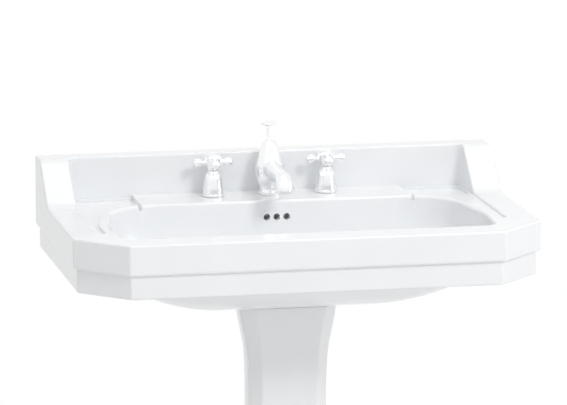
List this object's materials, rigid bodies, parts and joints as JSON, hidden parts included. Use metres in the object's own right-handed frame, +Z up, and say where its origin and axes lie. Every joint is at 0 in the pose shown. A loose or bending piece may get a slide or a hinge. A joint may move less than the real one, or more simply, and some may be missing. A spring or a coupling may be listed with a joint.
{
  "type": "pedestal washbasin",
  "caption": "Rectangular ceramic washbasin with an upstand and cut front corners on a hollow pedestal, with cross-handle taps, spout, pop-up waste and bottle trap.",
  "frame": {"origin": "on the floor, midway between the basin's sides and midway between its front and the wall plane", "axes": "+Z up, +X to the right of someone standing in front, +Y towards the wall"},
  "size_m": [0.8, 0.48, 0.976],
  "materials": {
    "glazed_ceramic": "gloss",
    "index_ceramic": "gloss",
    "chrome": "polished",
    "brass": "satin",
    "copper": "satin",
    "steel": "brushed",
    "rubber": "matt",
    "fibre": "matt",
    "white_plastic": "satin",
    "grey_plastic": "matt"
  },
  "bodies": {
    "washbasin": {"basin": "glazed_ceramic", "cold_bell_shroud": "chrome", "cold_cartridge": "brass", "cold_link_pipe": "copper", "cold_valve_body": "brass", "hot_bell_shroud": "chrome", "hot_cartridge": "brass", "hot_link_pipe": "copper", "hot_valve_body": "brass", "link_pipe_nuts": "brass", "mixer_tee": "brass", "outlet_pipe": "white_plastic", "pedestal": "glazed_ceramic", "pivot_gland_nut": "chrome", "pivot_seal": "rubber", "spout_aerator": "grey_plastic", "spout_back_nut": "brass", "spout_back_washer": "fibre", "spout_body": "chrome", "spout_outlet_ring": "chrome", "spout_seal_washer": "white_plastic", "tap_back_nuts": "brass", "tap_back_washers": "fibre", "tap_seal_washers": "white_plastic", "trap_body": "white_plastic", "trap_cup": "white_plastic", "trap_cup_seal": "rubber", "trap_inlet_nut": "white_plastic", "trap_inlet_seal": "rubber", "trap_outlet_nut": "white_plastic", "trap_outlet_seal": "rubber", "waste_back_nut": "brass", "waste_back_washer": "rubber", "waste_body": "chrome", "waste_flange_seal": "rubber", "waste_tailpipe": "chrome"},
    "hot_handle": {"hot_spindle": "brass", "hot_cross_handle": "chrome", "hot_index_button": "index_ceramic", "hot_handle_screw": "steel"},
    "cold_handle": {"cold_spindle": "brass", "cold_cross_handle": "chrome", "cold_index_button": "index_ceramic", "cold_handle_screw": "steel"},
    "lift_rod": {"lift_rod": "chrome", "lift_knob": "chrome", "clevis_strap": "steel", "clevis_screw": "steel"},
    "pivot_rod": {"pivot_rod": "steel", "spring_clip": "steel"},
    "plug": {"plug": "chrome", "plug_seal": "rubber"}
  },
  "joints": [
    {"name": "hot_handle_turn", "type": "hinge", "parent": "washbasin", "child": "hot_handle", "pos_m": [-0.1, 0.1735, 0.908], "axis": [0, 0, 1], "range_deg": [0, 90]},
    {"name": "cold_handle_turn", "type": "hinge", "parent": "washbasin", "child": "cold_handle", "pos_m": [0.1, 0.1735, 0.908], "axis": [0, 0, 1], "range_deg": [-90, 0]},
    {"name": "lift_rod_slide", "type": "slide", "parent": "washbasin", "child": "lift_rod", "axis": [0, 0, 1], "range_m": [-0.02, 0]},
    {"name": "pivot_rod_turn", "type": "hinge", "parent": "washbasin", "child": "pivot_rod", "pos_m": [0, 0.076, 0.618], "axis": [1, 0, 0], "range_deg": [-10.4, 0]},
    {"name": "plug_slide", "type": "slide", "parent": "washbasin", "child": "plug", "axis": [0, 0, 1], "range_m": [0, 0.0048]}
  ],
  "couplings": [
    {"joint": "pivot_rod_turn", "follows": "lift_rod_slide", "rad_per_m": 9.066},
    {"joint": "plug_slide", "follows": "lift_rod_slide", "ratio": -0.23636}
  ]
}
